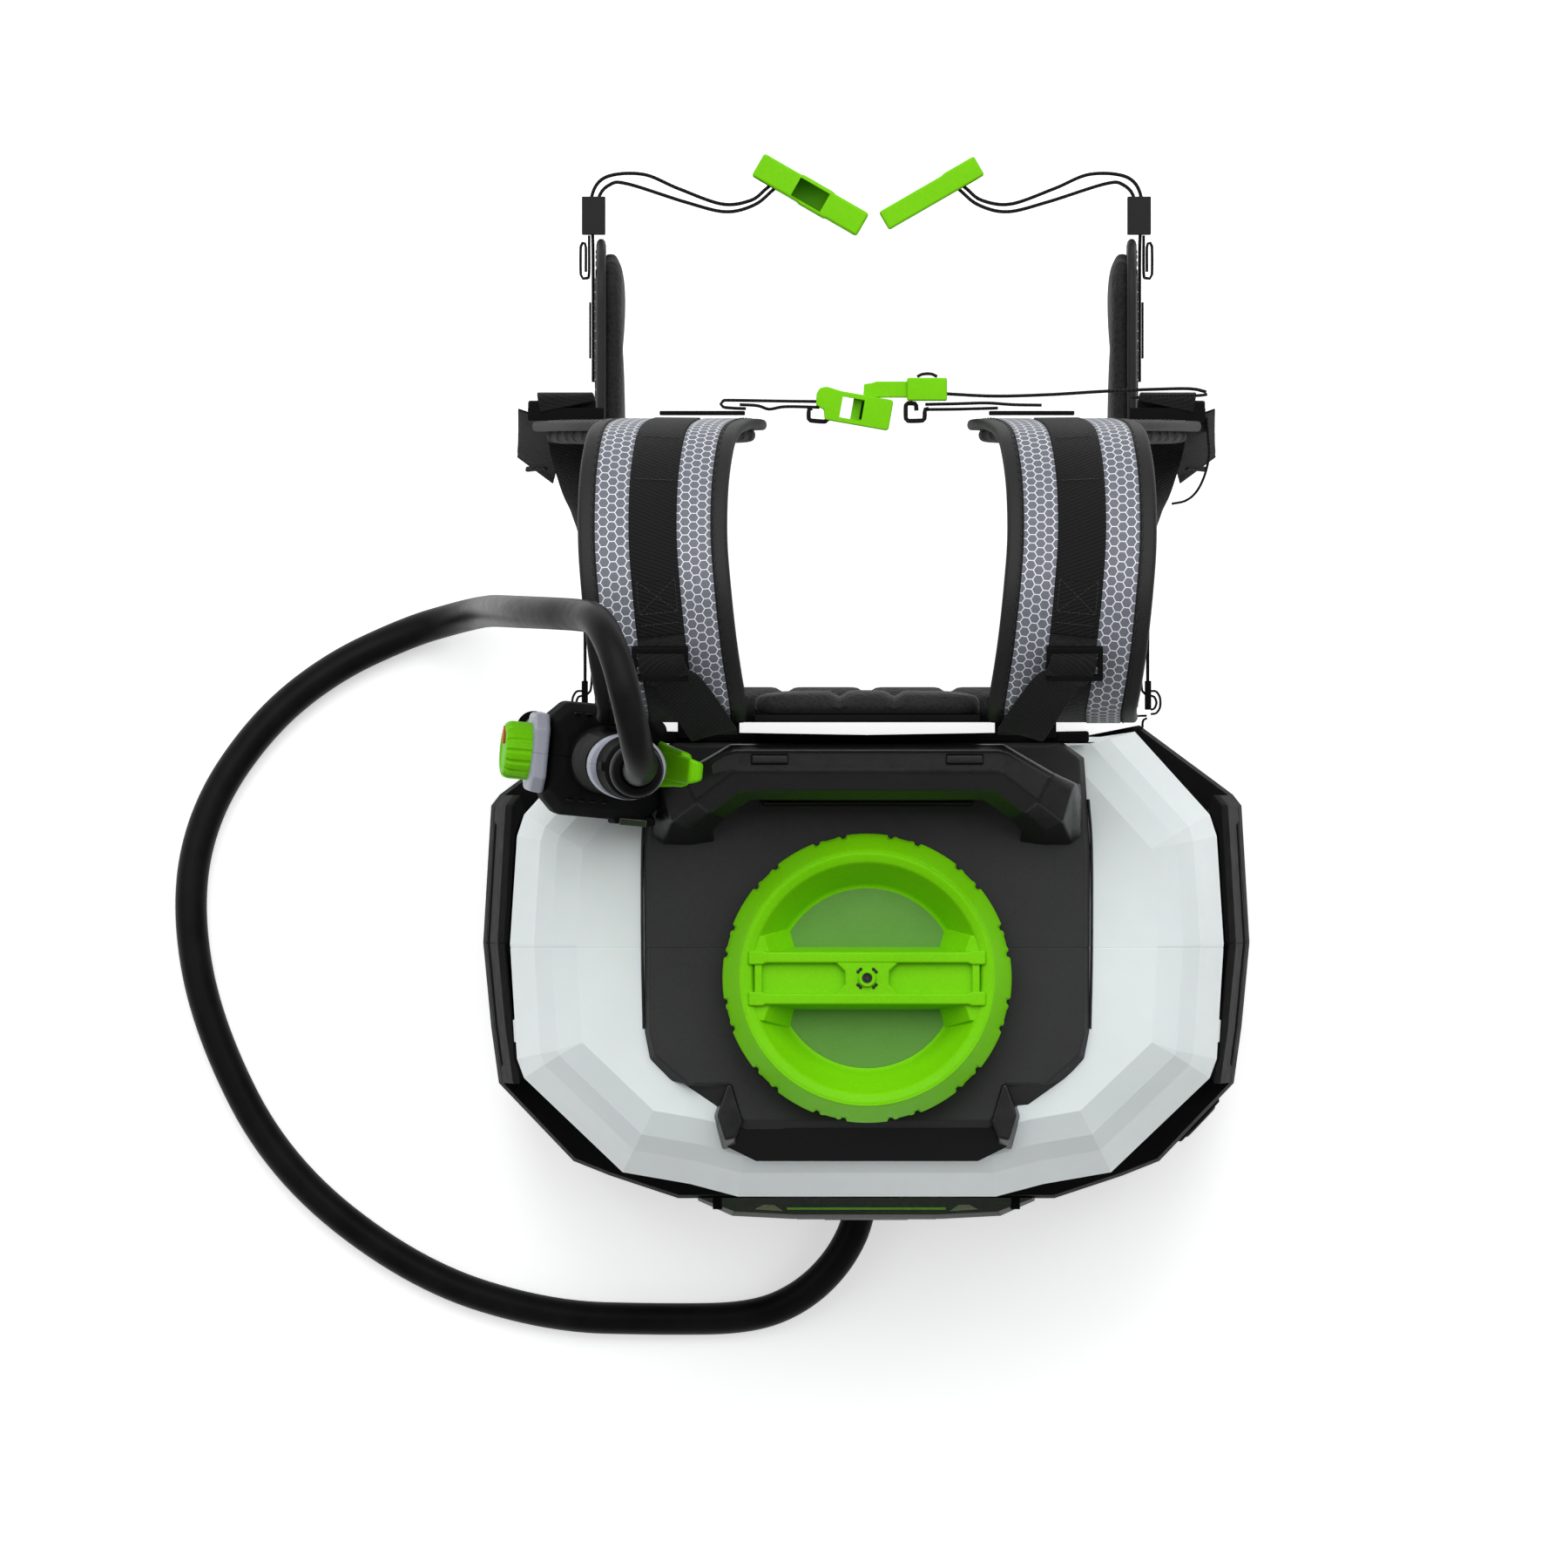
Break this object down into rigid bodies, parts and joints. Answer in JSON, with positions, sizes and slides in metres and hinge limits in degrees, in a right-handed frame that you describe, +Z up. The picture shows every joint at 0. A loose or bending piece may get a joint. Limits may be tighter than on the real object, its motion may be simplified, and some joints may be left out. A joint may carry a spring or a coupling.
{
  "type": "backpack sprayer",
  "caption": "Battery backpack sprayer: faceted tank on a motor base, screw lid, carry handle, padded shoulder and waist harness, hose and spray gun with wand.",
  "frame": {"origin": "on the floor under the middle of the base, on the flat underside of bottom_cover", "axes": "+Z up, +Y towards the wearer's back and the straps, -Y towards the battery door, +X to the wearer's side away from the gun"},
  "size_m": [0.5965, 0.6551, 0.663],
  "materials": {
    "black_casing": "fine spark-eroded texture",
    "deck_plastic": "fine texture",
    "tank_plastic": "translucent blow-moulded, satin",
    "green_plastic": "satin",
    "badge_gloss": "high gloss, blank",
    "smoked_plastic": "smoked translucent",
    "grey_plastic": "satin",
    "battery_casing": "textured",
    "steel": "brushed",
    "brass": "machined",
    "composite_tube": "smooth composite",
    "circuit": "circuit board with heat sink",
    "seal_rubber": "soft",
    "hose_rubber": "semi-gloss",
    "pad_fabric": "air mesh over foam",
    "webbing": "woven webbing"
  },
  "bodies": {
    "root": {"bottom_cover": "black_casing", "case_screws": "steel", "battery_door_pins": "steel", "battery_pack": "battery_casing", "battery_terminals": "battery_casing", "pump_motor": "steel", "pump_head": "battery_casing", "controller_board": "circuit", "suction_tube": "seal_rubber", "outlet_tube": "seal_rubber", "outlet_fitting": "brass", "tank_shell": "tank_plastic", "top_deck": "deck_plastic", "badge_plate": "badge_gloss", "carry_handle": "black_casing", "strainer_basket": "battery_casing", "back_plate": "black_casing", "back_pad": "pad_fabric", "lumbar_pad": "pad_fabric", "load_lifters": "webbing", "ladder_locks": "battery_casing", "belt_keepers": "webbing", "belt_buckle_socket": "green_plastic", "belt_buckle_plug": "green_plastic", "side_triglides": "battery_casing", "grip_ring": "grey_plastic", "gun_end_cap": "battery_casing", "knob_collar": "grey_plastic", "trigger_pin": "steel", "valve_body": "brass", "wand_tube": "composite_tube", "wand_clips": "battery_casing", "spray_hose": "hose_rubber", "side_panel_left": "black_casing", "side_panel_right": "black_casing", "shoulder_pad_left": "pad_fabric", "shoulder_pad_right": "pad_fabric", "strap_webbing_left": "webbing", "strap_webbing_right": "webbing", "belt_wing_left": "pad_fabric", "belt_wing_right": "pad_fabric", "belt_webbing_left": "webbing", "belt_webbing_right": "webbing", "base_shell_front": "black_casing", "base_shell_rear": "black_casing", "gun_shell_left": "battery_casing", "gun_shell_right": "battery_casing"},
    "lid_ring": {"lid_gasket": "seal_rubber"},
    "lid": {"lid_cap": "green_plastic", "lid_vent": "battery_casing"},
    "battery_door": {"battery_door": "smoked_plastic"},
    "battery_latch": {"battery_latch": "green_plastic"},
    "power_button": {"power_button": "green_plastic"},
    "pressure_knob": {"pressure_knob": "green_plastic"},
    "trigger": {"trigger": "green_plastic"},
    "nozzle": {"wand_nozzle": "brass"},
    "chest_strap": {"chest_sliders": "battery_casing", "chest_webbing": "webbing", "chest_buckle_socket": "green_plastic", "chest_buckle_plug": "green_plastic"}
  },
  "joints": [
    {"name": "lid_lift", "type": "slide", "parent": "root", "child": "lid_ring", "axis": [0, 0, 1], "range_m": [0, 0.12]},
    {"name": "lid_turn", "type": "hinge", "parent": "lid_ring", "child": "lid", "pos_m": [0, -0.0082, 0.44], "axis": [0, 0, 1], "range_deg": [0, 450]},
    {"name": "battery_door_hinge", "type": "hinge", "parent": "root", "child": "battery_door", "pos_m": [0, -0.1346, 0.137], "axis": [-1, 0, 0], "range_deg": [0, 95]},
    {"name": "battery_latch_press", "type": "slide", "parent": "root", "child": "battery_latch", "axis": [0, 1, 0], "range_m": [0, 0.003], "stiffness_N_per_m": 600, "springref_m": -0.002},
    {"name": "power_button_press", "type": "slide", "parent": "root", "child": "power_button", "axis": [-0.7229, 0.6909, 0], "range_m": [0, 0.002], "stiffness_N_per_m": 800, "springref_m": -0.002},
    {"name": "pressure_turn", "type": "hinge", "parent": "root", "child": "pressure_knob", "pos_m": [-0.1899, 0.11675, 0.44251], "axis": [-0.9867, 0.0915, 0.134], "range_deg": [0, 270]},
    {"name": "trigger_squeeze", "type": "hinge", "parent": "root", "child": "trigger", "pos_m": [-0.1209, 0.11012, 0.4402], "axis": [-0.0967, -0.9948, -0.0329], "range_deg": [0, 9], "stiffness_Nm_per_rad": 2, "springref_deg": -8.59},
    {"name": "nozzle_turn", "type": "hinge", "parent": "root", "child": "nozzle", "pos_m": [-0.1845, 0.1295, 0.044], "axis": [-0.0333, 0.0433, -0.9985], "range_deg": [0, 360]},
    {"name": "chest_strap_slide", "type": "slide", "parent": "root", "child": "chest_strap", "axis": [0, 0, 1], "range_m": [-0.04, 0.03]}
  ]
}
